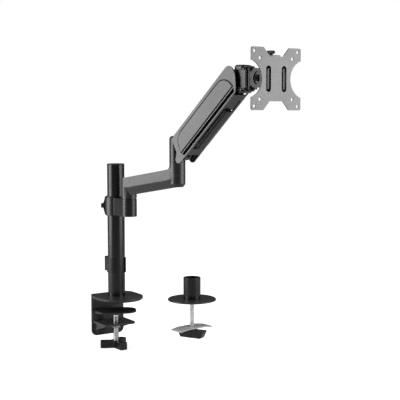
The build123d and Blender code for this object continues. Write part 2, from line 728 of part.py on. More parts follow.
def side_panel(side):
    panel = upright(panel_outline(panel_gap), cover_half_width - panel_recess, cover_half_width + panel_proud)
    panel = chamfer(panel.faces().sort_by(Axis.Y)[-1].edges(), 0.4)
    return mirror(panel, Plane.XZ) if side < 0 else panel


def make_spring_arm():
    floor = cover_bottom + cover_wall + 0.7
    crown = cover_top - cover_wall - 5.8
    web = outline((-beam_eye, -beam_eye, 8), (8, floor, 4), (beam_length - 8, floor, 4),
                  (beam_length + beam_eye, -beam_eye, 8), (beam_length + beam_eye, beam_eye, 8),
                  (beam_length - 22, crown, 6), (34, crown, 6), (22, beam_eye, 5), (-beam_eye, beam_eye, 8))
    frame = both_sides(web_inner, web_outer, web)
    for start in (36, beam_length - 54):
        frame += block((start, start + 16), (-web_inner, web_inner), (floor, floor + cover_wall))
    for u in (0, beam_length):
        frame -= cross_rod(main_pin_radius + run_gap, cut_past, u, 0)
    save("beam_channel", frame, beam_frame)

    for name, side in (("left", -1), ("right", 1)):
        save(f"side_cover_{name}", side_cover(side), beam_frame)
        save(f"side_panel_{name}", side_panel(side), beam_frame)

    across = (-cover_mid, cover_mid)
    under = (cover_bottom, cover_bottom + cover_wall)
    save("top_cover", block((36, beam_length - 46), across, (cover_top - cover_wall, cover_top)), beam_frame)
    save("lower_end_cover", block((16, trough_start - 4), across, under), beam_frame)
    trough_low = cover_bottom - trough_drop
    end = beam_length - trough_end
    end_cover_low = beam_length - end_cover_start
    end_cover = block((end_cover_low, beam_length - 6), across, under)
    end_cover += block((end + face_gap, end_cover_low + 1), across, (under[1] - end_cover_tongue, under[1]))
    save("upper_end_cover", end_cover, beam_frame)

    trough = block((trough_start, end), (-trough_half, trough_half), (trough_low, under[1]))
    trough = fillet(trough.edges().filter_by(Axis.X).group_by(Axis.Z)[0], 3.5)
    trough -= block((trough_start - 1, end + 1), (trough_wall - trough_half, trough_half - trough_wall),
                    (trough_low + trough_wall, under[1] + 1))
    save("cable_cover", trough, beam_frame)


def make_upper_link():
    eye = link_eye
    drop = spring_mount_drop + 7
    web = outline((-eye, -eye, eye - 0.3), (spring_mount - 16, -eye, 3), (spring_mount - 8, -drop, 4),
                  (spring_mount + 8, -drop, 4), (spring_mount + 16, -eye, 3),
                  (beam_length + eye, -eye, eye - 0.3), (beam_length + eye, eye, eye - 0.3),
                  (-eye, eye, eye - 0.3))
    link = both_sides(link_inner, link_outer, web)
    link += block((30, beam_length - 34), (-link_inner, link_inner), (eye - 2, eye))
    for u in (0, beam_length):
        link -= cross_rod(link_pin_radius + run_gap, cut_past, u, 0)
    link -= cross_rod(link_pin_radius + seat_gap, cut_past, spring_mount, -spring_mount_drop)
    save("upper_link", link, link_frame)
    save("spring_pin", cross_rod(link_pin_radius, link_outer, spring_mount, -spring_mount_drop), link_frame)


def make_gas_spring():
    lean = math.radians(lift_angle)
    mount = (link_pivot[0] + spring_mount * math.cos(lean) + spring_mount_drop * math.sin(lean),
             link_pivot[1] + spring_mount * math.sin(lean) - spring_mount_drop * math.cos(lean))
    reach = math.hypot(mount[0] - anchor[0], mount[1] - anchor[1])
    tilt = math.degrees(math.atan2(mount[1] - anchor[1], mount[0] - anchor[0]))
    spring_frame = elbow_frame * Location((mount[0], 0, mount[1])) * Rotation(0, -tilt, 0)
    lug = Circle(spring_lug) + Pos(-spring_tail / 2, 0) * Rectangle(spring_tail, 2 * spring_lug)
    tube = Rot(0, 90, 0) * Cylinder(spring_radius, spring_length)
    tube = chamfer(tube.edges().filter_by(GeomType.CIRCLE), 1.5)
    tube_end = -spring_tail - spring_length
    bore_length = spring_length - 6
    bore = Rot(0, 90, 0) * Cylinder(spring_rod_radius + run_gap, bore_length)
    cylinder = upright(lug, -4, 4) + Pos(-spring_tail - spring_length / 2, 0, 0) * tube
    cylinder -= Pos(tube_end + bore_length / 2, 0, 0) * bore
    save("gas_cylinder", cylinder - cross_rod(link_pin_radius + run_gap, cut_past, 0, 0), spring_frame)

    foot = anchor_roller_radius + foot_gap - reach
    inner_end = tube_end + spring_plunge
    piston_rod = Rot(0, 90, 0) * Cylinder(spring_rod_radius, inner_end - foot)
    piston_rod = Pos((foot + inner_end) / 2, 0, 0) * piston_rod
    piston_rod += Pos(foot + 2, 0, 0) * Box(4, 2 * anchor_slot_half - 1.4, 2 * spring_rod_radius)
    save("gas_rod", piston_rod, spring_frame)


# ---- Head ----

def make_carrier():
    pivot_x, pivot_z = upper_pivot
    high_x, high_z = upper_link_pivot
    root = pivot_x + fork_low_root
    top_root = pivot_x + fork_top_root
    room_edge = swivel_ahead - swivel_barrel_room
    wall_end = swivel_ahead - fork_wall_short
    arm_end = swivel_ahead - swivel_pin_head - 1.5
    half = fork_half_width
    column = fork_column_half
    tongue = outline((pivot_x - 10, pivot_z - 9.5, 8), (root + 2, fork_low, 0.5), (root + 2, fork_top - 4, 2),
                     (high_x - 4, high_z + 8.5, 7), (high_x - 9, high_z, 6))
    carrier = upright(tongue, -tongue_half, tongue_half)
    column_plan = outline((root, -column, 1), (room_edge, -column, 6),
                          (room_edge, column, 6), (root, column, 1))
    carrier += flat(column_plan, fork_low + fork_round, fork_top - fork_round)
    wall_plan = outline((root, -column, 1), (wall_end, -column, 0.5),
                        (wall_end, column, 0.5), (root, column, 1))
    carrier += flat(wall_plan, ear_low + ear_thickness - 1, ear_top - ear_thickness + 1)
    low_plan = outline((root, -half, 6), (arm_end, -half, 6), (arm_end, half, 6), (root, half, 6))
    top_plan = outline((top_root, -half, 6), (arm_end, -half, 6), (arm_end, half, 6), (top_root, half, 6))
    ear_plan = Pos(swivel_ahead, 0) * Circle(ear_radius)
    ear_half = half - 1
    ear_plan += outline((room_edge - 4, -ear_half, 0.5), (arm_end, -ear_half, 1),
                        (swivel_ahead, -ear_radius, 1), (swivel_ahead, ear_radius, 1),
                        (arm_end, ear_half, 1), (room_edge - 4, ear_half, 0.5))
    low_arm = flat(low_plan, fork_low, ear_low + ear_thickness)
    high_arm = flat(top_plan, ear_top - ear_thickness, fork_top)
    low_arm = fillet(low_arm.edges().group_by(Axis.Z)[0], fork_round)
    high_arm = fillet(high_arm.edges().group_by(Axis.Z)[-1], fork_round)
    carrier += chamfer(low_arm.edges().group_by(Axis.Z)[-1], 0.8)
    carrier += chamfer(high_arm.edges().group_by(Axis.Z)[0], 0.8)
    carrier += flat(ear_plan, ear_low, ear_low + ear_thickness)
    carrier += flat(ear_plan, ear_top - ear_thickness, ear_top)
    carrier -= rod(swivel_barrel_room, ear_low + ear_thickness, ear_top - ear_thickness, swivel_ahead)
    carrier -= cross_rod(main_pin_radius + seat_gap, cut_past, pivot_x, pivot_z)
    carrier -= cross_rod(link_pin_radius + seat_gap, cut_past, high_x, high_z)
    carrier -= rod(swivel_pin_radius + seat_gap, fork_low - 1, fork_top + 1, swivel_ahead)
    save("head_carrier", carrier, elbow_frame)

    main_pin = cross_rod(main_pin_radius, web_outer + pin_head, pivot_x, pivot_z)
    link_pin = cross_rod(link_pin_radius, link_outer + link_side_gap, high_x, high_z)
    save("carrier_pins", Compound([main_pin, link_pin]), elbow_frame)

    pin = rod(swivel_pin_radius, ear_low - 1, ear_top + 1)
    high_head = rod(swivel_pin_head, ear_top, ear_top + 3.5)
    low_head = rod(swivel_pin_head, ear_low - 3.5, ear_low)
    pin += fillet(high_head.faces().sort_by(Axis.Z)[-1].edges(), 1.5)
    pin += fillet(low_head.faces().sort_by(Axis.Z)[0].edges(), 1.5)
    save("swivel_pin", pin, swivel_frame)


def make_swivel_block():
    low = ear_low + ear_thickness
    high = ear_top - ear_thickness
    bore = swivel_pin_radius + run_gap
    washers = [ring(swivel_barrel_radius - 1, bore, low, low + swivel_washer),
               ring(swivel_barrel_radius - 1, bore, high - swivel_washer, high)]
    save("swivel_washers", Compound(washers), swivel_frame)

    barrel_low = low + swivel_washer + 0.1
    barrel_high = high - swivel_washer - 0.1
    half = tilt_block / 2
    tilt_axis = Pos(0, -tilt_reach, head_height) * Rot(0, 90, 0)
    cheek_side = RectangleRounded(tilt_block, tilt_block, tilt_corner)
    cheek = extrude(Plane.YZ.offset(-tilt_half_width) * cheek_side, amount=2 * tilt_half_width)
    piece = rod(swivel_barrel_radius, barrel_low, barrel_high)
    piece += Pos(0, -tilt_reach, head_height) * cheek
    piece += block((-tilt_bridge_half, tilt_bridge_half), (-tilt_reach + half - 6, -2),
                   (barrel_low + 2, barrel_high - 2))
    hub_room = tilt_hub_half + face_gap
    piece -= block((-hub_room, hub_room), (-tilt_reach - half - 1, -tilt_reach + half - 2),
                   (head_height - half - 1, head_height + half + 1))
    for side in (-1, 1):
        dish = tilt_axis * Pos(0, 0, side * tilt_half_width)
        piece -= dish * Cylinder(tilt_dish_radius, 2 * tilt_dish_depth)
    piece -= tilt_axis * Cylinder(tilt_bolt_radius + run_gap, 2 * cut_past)
    piece -= rod(bore, low, high)
    save("swivel_block", piece, swivel_frame)

    seat = tilt_half_width - tilt_dish_depth
    head = Cylinder(tilt_bolt_head, tilt_bolt_head_height)
    head = chamfer(head.edges().filter_by(GeomType.CIRCLE).sort_by(Axis.Z)[0], 0.8)
    bolt = tilt_axis * Pos(0, 0, 1.5) * Cylinder(tilt_bolt_radius, 2 * seat + 3)
    bolt += tilt_axis * Pos(0, 0, -seat - tilt_bolt_head_height / 2) * head
    bolt -= tilt_axis * Pos(0, 0, -seat - tilt_bolt_head_height - 1) * extrude(RegularPolygon(3, 6), amount=4)
    nut = tilt_axis * Pos(0, 0, seat) * extrude(RegularPolygon(tilt_bolt_head, 6), amount=4)
    nut -= tilt_axis * Cylinder(tilt_bolt_radius + seat_gap, 2 * cut_past)
    save("tilt_bolt", Compound([bolt, nut]), swivel_frame)


def make_tilt_hub():
    tilt_axis = Pos(0, -tilt_reach, head_height) * Rot(0, 90, 0)
    flange_near = flange_far - flange_thickness
    hub = tilt_axis * Cylinder(tilt_hub_radius, 2 * tilt_hub_half)
    across = (-tilt_hub_half, tilt_hub_half)
    hub += block(across, (-flange_near, -tilt_reach), (head_height - 12, head_height + 12))
    hub += along_y(flange_radius, flange_near, flange_far)
    hub += along_y(rotation_radius, flange_near, bracket_front + face_gap + rotation_nut_height + 1)
    hub -= tilt_axis * Cylinder(tilt_bolt_radius + seat_gap, cut_past)
    save("tilt_hub", hub, swivel_frame)


def make_bracket():
    top = plate_height + bracket_rise
    half = bracket_half
    shelf_half = bracket_shelf_half
    shoulder_z = top - 15
    face = outline((-half, plate_height - 30, 5), (half, plate_height - 30, 5), (half, shoulder_z, 5),
                   (shelf_half, top, 3), (-shelf_half, top, 3), (-half, shoulder_z, 5))
    bracket = upright(face, -bracket_front, -bracket_back)
    shelf = (-bracket_front, 14 - bracket_back)
    bracket += block((-shelf_half, shelf_half), shelf, (top - bracket_thickness, top))
    rail_half = slot_height / 2 - hook_travel - 1.0
    for middle in (-slot_offset, slot_offset):
        across = (middle - rail_thickness / 2, middle + rail_thickness / 2)
        bracket += block(across, (rail_sunk - plate_front, -bracket_back),
                         (plate_height - rail_half, plate_height + rail_half))
    bracket -= along_y(rotation_radius + run_gap, bracket_back - 1, bracket_front + 1)
    bracket -= rod(thumb_screw_radius + seat_gap, top - 6, top + 1, 0, 6 - bracket_back)
    save("hook_bracket", bracket, swivel_frame)

    nut_near = bracket_front + face_gap
    nut = along_y(rotation_nut_radius, nut_near, nut_near + rotation_nut_height)
    save("rotation_nut", nut - along_y(rotation_radius + seat_gap, bracket_front, nut_near + 5), swivel_frame)


def make_screen_plate():
    half = plate_half
    tab = 28.0
    notch_floor = half - 16.5
    floor_half = 15.5
    body = outline((-half, -half, 4), (tab - half, -half, 3), (-floor_half, -notch_floor, 2),
                   (floor_half, -notch_floor, 2), (half - tab, -half, 3), (half, -half, 4), (half, half, 4),
                   (half - tab, half, 3), (floor_half, notch_floor, 2), (-floor_half, notch_floor, 2),
                   (tab - half, half, 3), (-half, half, 4))
    waist_radius = 36.0
    waist_depth = 24.5
    for side in (-1, 1):
        body -= Pos(side * (half + waist_radius - waist_depth), 0) * Circle(waist_radius)
        outer = side * (half + 5)
        inner = side * (half - 12)
        body -= outline((outer, 36, 0.5), (inner, 24, 0.5), (inner, -24, 0.5), (outer, -36, 0.5))
        body -= Pos(side * slot_offset, 0) * SlotOverall(slot_height, slot_width, rotation=90)
    for square in (hole_square_outer, hole_square_inner):
        for x in (-square / 2, square / 2):
            for z in (-square / 2, square / 2):
                body -= Pos(x, z) * Circle(screen_hole_radius)
    plate = upright(Pos(0, plate_height) * body, -plate_front, -plate_back)

    lug_low = plate_height + bracket_rise + face_gap
    lug_top = lug_low + plate_thickness
    screw_y = 6 - bracket_back
    across = (-thumb_lug_half, thumb_lug_half)
    plate += block(across, (-plate_front, screw_y + thumb_lug_half), (lug_low, lug_top))
    plate += block(across, (-plate_front, -plate_back), (plate_height + notch_floor - 2, lug_top))
    plate -= rod(thumb_screw_radius + run_gap, lug_low - 1, lug_top + 1, 0, screw_y)
    save("screen_plate", plate, swivel_frame)

    shank_high = lug_top + face_gap + 3
    knob = rod(thumb_screw_radius, lug_low - 8, shank_high, 0, screw_y)
    knob += rod(thumb_knob_radius / 2, lug_top + face_gap, shank_high, 0, screw_y)
    head = rod(thumb_knob_radius, shank_high, shank_high + thumb_knob_height, 0, screw_y)
    knob += chamfer(head.edges().filter_by(GeomType.CIRCLE), 0.8)
    save("thumb_screw", knob, swivel_frame)


# ---- Grommet base ----

def make_grommet_base():
    disc_top = grommet_disc_thickness
    disc = rod(grommet_disc_radius, 0, disc_top)
    disc = chamfer(disc.faces().sort_by(Axis.Z)[-1].edges(), 1.2)
    save("grommet_disc", disc - rod(grommet_rod_radius + seat_gap, -1, disc_top + 1), kit_frame)
    cap_low = grommet_post_height - grommet_post_cap
    stub = ring(pole_radius, pole_radius - pole_wall, disc_top, cap_low)
    stub += ring(pole_radius, pole_radius - 2.5 * pole_wall, cap_low, grommet_post_height)
    save("grommet_stub", stub, kit_frame)
    nut_top = disc_top + grommet_nut_height
    nut = hexagon(grommet_nut_across, disc_top, nut_top)
    nut -= rod(grommet_rod_radius + seat_gap, 0, nut_top + 1)
    grooves = int((grommet_rod_length - 2 * groove_pitch) / groove_pitch)
    grommet_rod = grooved_rod(grommet_rod_radius, -grommet_rod_length, nut_top + 4, -4, grooves)
    save("grommet_rod", Compound([grommet_rod, nut]), kit_frame)

    half = grommet_plate_length / 2
    top = grommet_plate_top
    low = top - grommet_plate_thickness
    bend = grommet_plate_bend
    strip = make_face(Polyline((-half, top - bend), (20 - half, top), (half - 20, top), (half, top - bend),
                               (half, low - bend), (half - 20, low), (20 - half, low), (-half, low - bend),
                               close=True))
    plate = upright(strip, -grommet_plate_width / 2, grommet_plate_width / 2)
    plate -= rod(grommet_rod_radius + 2 * bolt_gap, low - 1, top + 1)
    save("grommet_plate", Rot(0, 0, grommet_plate_turn) * plate, kit_frame)

    hub_top = low - face_gap
    wing_top = hub_top - grommet_knob_neck
    knob_low = wing_top - grommet_knob_height
    length = grommet_knob_length / 2
    boat = make_face(Polyline((-length, wing_top), (length, wing_top), (length - 8, knob_low),
                              (8 - length, knob_low), close=True))
    knob = upright(boat, -grommet_knob_width / 2, grommet_knob_width / 2)
    knob = fillet(knob.edges().filter_by(Axis.Y), 2.0)
    knob += rod(knob_hub_radius, knob_low, hub_top)
    knob -= rod(grommet_rod_radius + run_gap, knob_low - 1, hub_top + 1)
    save("grommet_knob", Rot(0, 0, grommet_knob_turn) * knob, kit_frame)


make_desk_clamp()
make_cable_clip()
make_jaw()
make_clamp_screw()
make_collar()
make_lower_arm()
make_shoulder()
make_spring_arm()
make_upper_link()
make_gas_spring()
make_carrier()
make_swivel_block()
make_tilt_hub()
make_bracket()
make_screen_plate()
make_grommet_base()
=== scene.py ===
import json
import math

import bpy
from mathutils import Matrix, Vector

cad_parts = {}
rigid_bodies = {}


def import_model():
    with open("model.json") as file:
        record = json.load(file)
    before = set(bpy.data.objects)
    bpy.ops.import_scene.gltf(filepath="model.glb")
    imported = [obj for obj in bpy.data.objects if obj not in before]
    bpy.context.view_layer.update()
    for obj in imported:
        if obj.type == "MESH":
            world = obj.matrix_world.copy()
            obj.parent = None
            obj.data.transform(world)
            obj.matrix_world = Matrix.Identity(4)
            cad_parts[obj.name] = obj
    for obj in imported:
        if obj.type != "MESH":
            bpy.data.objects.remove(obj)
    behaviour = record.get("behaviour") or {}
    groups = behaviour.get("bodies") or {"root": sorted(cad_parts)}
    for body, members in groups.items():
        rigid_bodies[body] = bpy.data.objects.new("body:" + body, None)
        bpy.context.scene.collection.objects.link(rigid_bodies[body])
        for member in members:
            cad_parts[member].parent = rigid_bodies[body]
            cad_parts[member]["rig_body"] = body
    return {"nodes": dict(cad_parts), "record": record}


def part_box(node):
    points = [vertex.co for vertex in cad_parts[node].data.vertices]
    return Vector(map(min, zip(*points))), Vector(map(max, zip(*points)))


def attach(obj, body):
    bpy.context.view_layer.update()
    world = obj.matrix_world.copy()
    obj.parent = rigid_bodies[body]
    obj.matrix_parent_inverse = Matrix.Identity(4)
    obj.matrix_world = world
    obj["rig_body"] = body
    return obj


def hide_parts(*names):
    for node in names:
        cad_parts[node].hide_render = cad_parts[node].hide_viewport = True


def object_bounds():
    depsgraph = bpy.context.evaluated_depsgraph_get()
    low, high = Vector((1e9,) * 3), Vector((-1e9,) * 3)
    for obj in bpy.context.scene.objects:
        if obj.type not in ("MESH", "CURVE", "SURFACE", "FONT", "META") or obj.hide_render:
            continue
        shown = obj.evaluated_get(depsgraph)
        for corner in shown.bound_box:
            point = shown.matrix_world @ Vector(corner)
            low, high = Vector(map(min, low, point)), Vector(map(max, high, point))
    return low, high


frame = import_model()
nodes = frame["nodes"]
cadLow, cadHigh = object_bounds()


class Wire:  # one value in a material; differences and products of it add Math nodes
    def __init__(self, graph, socket):
        self.graph = graph
        self.socket = socket

    def maths(self, operation, first, second):
        return self.graph.node("ShaderNodeMath", {"operation": operation}, {0: first, 1: second})

    def __sub__(self, other):
        return self.maths("SUBTRACT", self, other)

    def __rsub__(self, other):
        return self.maths("SUBTRACT", other, self)

    def __mul__(self, other):
        return self.maths("MULTIPLY", self, other)

    def __rmul__(self, other):
        return self.maths("MULTIPLY", other, self)


class Graph:  # the nodes of one material, or of the world
    def __init__(self, tree):
        self.tree = tree

    def node(self, kind, settings=None, inputs=None, out=0):
        made = self.tree.nodes.new(kind)
        for key, value in (settings or {}).items():
            setattr(made, key, value)
        for key, value in (inputs or {}).items():
            self.plug(made.inputs[key], value)
        return Wire(self, made.outputs[out])

    def plug(self, socket, value):
        if isinstance(value, Wire):
            self.tree.links.new(value.socket, socket)
        else:
            socket.default_value = value

    def ramp(self, value, low, high):  # low and high are pairs: the value that comes in, and what it becomes
        return self.node("ShaderNodeMapRange", {"clamp": True},
                         {"Value": value, "From Min": low[0], "From Max": high[0],
                          "To Min": low[1], "To Max": high[1]})

    def larger(self, first, second):
        return self.node("ShaderNodeMath", {"operation": "MAXIMUM"}, {0: first, 1: second})

    def ray(self, kind):
        return self.node("ShaderNodeLightPath", out=kind)

    def cameraSees(self):  # straight, or through glass
        return self.larger(self.ray("Is Camera Ray"), self.ray("Is Transmission Ray"))


class Paint(Graph):  # one finish of the arm
    def __init__(self, name):
        self.material = bpy.data.materials.new(name)
        self.material.use_nodes = True
        super().__init__(self.material.node_tree)
        self.shader = self.tree.nodes["Principled BSDF"]
        self.place = self.node("ShaderNodeTexCoord", out="Object")

    def noise(self, scale, detail=3.0, rough=0.5, stretch=None):
        spot = self.place
        if stretch:
            spot = self.node("ShaderNodeMapping", {"vector_type": "POINT"},
                             {"Vector": self.place, "Scale": stretch})
        return self.node("ShaderNodeTexNoise", {"noise_dimensions": "3D"},
                         {"Vector": spot, "Scale": scale, "Detail": detail, "Roughness": rough})

    def blendColour(self, factor, first, second):
        return self.node("ShaderNodeMix", {"data_type": "RGBA"}, {0: factor, 6: first, 7: second}, out=2)

    def edges(self, width):  # 1 along sharp edges, falling to 0 on the flats beside them
        rounded = self.node("ShaderNodeBevel", {"samples": 8}, {"Radius": width})
        flat = self.node("ShaderNodeNewGeometry", out="True Normal")
        along = self.node("ShaderNodeVectorMath", {"operation": "DOT_PRODUCT"}, {0: rounded, 1: flat},
                          out="Value")
        return self.ramp(along, (0.98, 0.0), (0.8, 1.0))

    def towards(self, axis, start, end):  # 1 where the surface faces along an axis, either way
        facing = self.node("ShaderNodeTexCoord", out="Normal")
        share = self.node("ShaderNodeSeparateXYZ", {}, {"Vector": facing}, out="XYZ".index(axis))
        size = self.node("ShaderNodeMath", {"operation": "ABSOLUTE"}, {0: share})
        return self.ramp(size, (start, 0.0), (end, 1.0))

    def finish(self, colour, rough, height, depth, metal=0.0, specular=0.5):
        self.plug(self.shader.inputs["Base Color"], colour)
        self.plug(self.shader.inputs["Roughness"], rough)
        self.plug(self.shader.inputs["Metallic"], metal)
        self.plug(self.shader.inputs["Specular IOR Level"], specular)
        grain = self.node("ShaderNodeBump", {}, {"Height": height, "Distance": depth, "Strength": 1.0})
        self.plug(self.shader.inputs["Normal"], grain)
        return self.material


def grey(value):  # the colour that shows as this 0 to 255 grey
    level = value / 255
    linear = level / 12.92 if level <= 0.04045 else ((level + 0.055) / 1.055) ** 2.4
    return (linear, linear, linear * 1.02, 1)


paintLook = {
    "cloud": (14.0, 4.0), "shade": (0.94, 1.05), "roughSpread": 0.06,
    "shadedRimFacing": (0.5, 0.85),                        # how far round a plate's cut edge the painted shade begins and ends
    # the edge mark is rubbed wear and also a painted highlight of the lamps on the rims
    "wearAndHighlightWidth": 0.0007, "wearAndHighlightPatches": (60.0, 3.0), "wearAndHighlightLeast": 0.55, "wearSmooth": 0.08,
}


def paintedMetal(name, tone, rough, grain, depth, specular=0.5, edgeWearAndHighlightTone=None, rimShadeTone=None):
    paint = Paint(name)
    look = paintLook
    cloud = paint.noise(*look["cloud"])
    speckle = paint.noise(grain, 2.0, 0.6)
    tint = paint.ramp(cloud, (0.3, 0.0), (0.7, 1.0))
    base = paint.blendColour(tint, grey(tone * look["shade"][0]), grey(tone * look["shade"][1]))
    roughness = paint.ramp(speckle, (0.3, rough - look["roughSpread"]), (0.7, rough + look["roughSpread"]))
    if rimShadeTone:                     # painted shade: the cut edges of a flat plate that faces forwards are coloured darker than its face
        base = paint.blendColour(paint.towards("Y", *look["shadedRimFacing"]), grey(rimShadeTone), base)
    if edgeWearAndHighlightTone:                    # paint rubbed lighter and smoother along the edges; the edge colour is also a painted highlight, for the lamps' glint on the rims
        patches = paint.ramp(paint.noise(*look["wearAndHighlightPatches"]), (0.3, look["wearAndHighlightLeast"]), (0.65, 1.0))
        wornAndHighlit = paint.edges(look["wearAndHighlightWidth"]) * patches
        base = paint.blendColour(wornAndHighlit, base, grey(edgeWearAndHighlightTone))
        roughness = roughness - wornAndHighlit * look["wearSmooth"]
    return paint.finish(base, roughness, speckle, depth, specular=specular)


plasticLook = {"cloud": (9.0, 3.0), "shade": (0.95, 1.04), "smoother": 0.04, "rougher": 0.05}


def plastic(name, tone, rough, grain, depth, specular=0.5):
    paint = Paint(name)
    look = plasticLook
    speckle = paint.noise(grain, 2.0, 0.55)
    cloud = paint.noise(*look["cloud"])
    tint = paint.ramp(cloud, (0.3, 0.0), (0.7, 1.0))
    base = paint.blendColour(tint, grey(tone * look["shade"][0]), grey(tone * look["shade"][1]))
    roughness = paint.ramp(cloud, (0.3, rough - look["smoother"]), (0.7, rough + look["rougher"]))
    return paint.finish(base, roughness, speckle, depth, specular=specular)


steelLook = {
    "streak": (90.0, 4.0, 0.6), "stretch": (1.0, 1.0, 14.0), "shade": 0.9, "smoother": 0.05, "rougher": 0.08,
}


def steel(name, tone, rough, scratch):
    paint = Paint(name)
    look = steelLook
    streak = paint.noise(*look["streak"], stretch=look["stretch"])
    tint = paint.ramp(streak, (0.35, 0.0), (0.7, 1.0))
    base = paint.blendColour(tint, grey(tone * look["shade"]), grey(tone))
    roughness = paint.ramp(streak, (0.3, rough - look["smoother"]), (0.7, rough + look["rougher"]))
    return paint.finish(base, roughness, streak, scratch, metal=1.0)


paints = {  # tone as shown, roughness, fineness of the grain and its depth in metres
    "satinTube": {"tone": 12, "rough": 0.24, "grain": 260.0, "depth": 0.000002, "specular": 0.35},
    "powderCoat": {"tone": 36, "rough": 0.33, "grain": 420.0, "depth": 0.000006, "specular": 0.45,
                   "edgeWearAndHighlightTone": 95},
    "castPaint": {"tone": 26, "rough": 0.36, "grain": 420.0, "depth": 0.000006, "edgeWearAndHighlightTone": 50},
    "headPaint": {"tone": 18, "rough": 0.34, "grain": 420.0, "depth": 0.000006, "specular": 0.45},
    # painted shade: a darker copy of the cast paint, for the shoulder post and collar
    "shadedCastPaint": {"tone": 12, "rough": 0.3, "grain": 420.0, "depth": 0.000006, "specular": 0.4,
                 "edgeWearAndHighlightTone": 40},
    # the plate's rim tone is painted shade on its cut edges
    "platePaint": {"tone": 127, "rough": 0.42, "grain": 420.0, "depth": 0.000006, "rimShadeTone": 36},
    "greySteel": {"tone": 165, "rough": 0.45, "grain": 700.0, "depth": 0.00001, "edgeWearAndHighlightTone": 150},
    "blackSteel": {"tone": 22, "rough": 0.34, "grain": 800.0, "depth": 0.000006},
}
plastics = {
    "coverPlastic": {"tone": 54, "rough": 0.38, "grain": 300.0, "depth": 0.000003, "specular": 0.55},
    "panelPlastic": {"tone": 67, "rough": 0.4, "grain": 300.0, "depth": 0.000003, "specular": 0.55},
    "troughPlastic": {"tone": 14, "rough": 0.42, "grain": 300.0, "depth": 0.000003, "specular": 0.35},
    # painted shade: near-black plastic for the sunk floor round the side panels
    "recessShadePlastic": {"tone": 8, "rough": 0.6, "grain": 300.0, "depth": 0.000003, "specular": 0.2},
    "boltBlack": {"tone": 3, "rough": 0.6, "grain": 300.0, "depth": 0.000003, "specular": 0.1},
    "blackPlastic": {"tone": 7, "rough": 0.3, "grain": 260.0, "depth": 0.000003, "specular": 0.4},
    "clipPlastic": {"tone": 5, "rough": 0.4, "grain": 260.0, "depth": 0.000003, "specular": 0.3},
    "nylon": {"tone": 12, "rough": 0.35, "grain": 300.0, "depth": 0.000003, "specular": 0.4},
    "rubber": {"tone": 12, "rough": 0.7, "grain": 600.0, "depth": 0.00002, "specular": 0.2},
}
finishes = {"brightSteel": steel("brightSteel", tone=232, rough=0.28, scratch=0.00001)}
for name, look in paints.items():
    finishes[name] = paintedMetal(name, **look)
for name, look in plastics.items():
    finishes[name] = plastic(name, **look)
slotFinish = {
    "satin_tube": "satinTube", "powder_coat": "powderCoat", "cast_arm": "castPaint",
    "plate_paint": "platePaint", "cover_plastic": "coverPlastic", "panel_plastic": "panelPlastic",
    "black_plastic": "blackPlastic",
    "nylon": "nylon", "rubber": "rubber", "bright_steel": "brightSteel", "grey_steel": "greySteel",
    "black_steel": "blackSteel",
}
ownFinish = {"head_carrier": "headPaint", "swivel_block": "headPaint", "tilt_hub": "headPaint",
             "shoulder_post": "shadedCastPaint", "collar": "shadedCastPaint", "beam_channel": "headPaint",
             "cable_cover": "troughPlastic", "cable_clip": "clipPlastic", "tilt_bolt": "boltBlack"}
slotOf = {part["node"]: part["material_slot"] for part in frame["record"]["subparts"]}
for node, slot in slotOf.items():
    mesh = nodes[node].data
    mesh.materials.clear()
    mesh.materials.append(finishes[ownFinish.get(node, slotFinish[slot])])
print("finishes on", len(nodes), "nodes")


# rigid pieces with their edges broken, as on castings, sheet and mouldings: width in metres, steps
brokenEdges = {
    "screen_plate": (0.0004, 2), "hook_bracket": (0.0005, 2), "head_carrier": (0.0007, 2),
    "swivel_block": (0.0007, 2), "tilt_hub": (0.0006, 2), "tilt_bolt": (0.0004, 2),
    "swivel_pin": (0.0003, 2), "side_cover_left": (0.0006, 2), "side_cover_right": (0.0006, 2),
    "side_panel_left": (0.0003, 2), "side_panel_right": (0.0003, 2), "top_cover": (0.0004, 2),
    "lower_end_cover": (0.0004, 2), "upper_end_cover": (0.0004, 2), "cable_cover": (0.0005, 2),
    "shoulder_post": (0.0006, 2), "lower_arm": (0.0009, 3), "collar": (0.0007, 2),
    "height_sleeve": (0.0003, 2), "collar_screw": (0.0005, 2), "pole_cap": (0.0004, 2),
    "cable_clip": (0.0004, 2), "desk_plate": (0.0006, 2), "lower_jaw": (0.0005, 2),
    "pressure_pad": (0.0005, 2), "clamp_knob": (0.0011, 3), "grommet_disc": (0.0005, 2),
    "grommet_plate": (0.0005, 2), "grommet_stub": (0.0006, 2), "jaw_nut": (0.0004, 2),
    "jaw_bolts": (0.0004, 2),
}


def selectOnly(piece):
    bpy.ops.object.select_all(action="DESELECT")
    piece.select_set(True)
    bpy.context.view_layer.objects.active = piece


def applyModifiers(piece):
    selectOnly(piece)
    for modifier in list(piece.modifiers):
        bpy.ops.object.modifier_apply(modifier=modifier.name)


def handOver(piece, node):  # the piece stands for a CAD node, on the same body and with its finish
    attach(piece, nodes[node]["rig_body"])
    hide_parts(node)


def smooth(piece, angle=32):  # rounded edges blend, and the flats beside them stay flat
    selectOnly(piece)
    bpy.ops.object.shade_smooth_by_angle(angle=math.radians(angle))
    weighted = piece.modifiers.new("flatFaces", "WEIGHTED_NORMAL")
    weighted.keep_sharp = True
    weighted.weight = 100
    applyModifiers(piece)


liftAxis = [joint["axis"] for joint in frame["record"]["behaviour"]["joints"] if joint["name"] == "lift"][0]
across = Vector(liftAxis)   # square to the covers, out to the left
recess = {
    "sides": {"side_cover_left": 1, "side_cover_right": -1},
    "depth": (0.0006, 0.0014),   # below the cover's face, from where to where the shade is painted
}


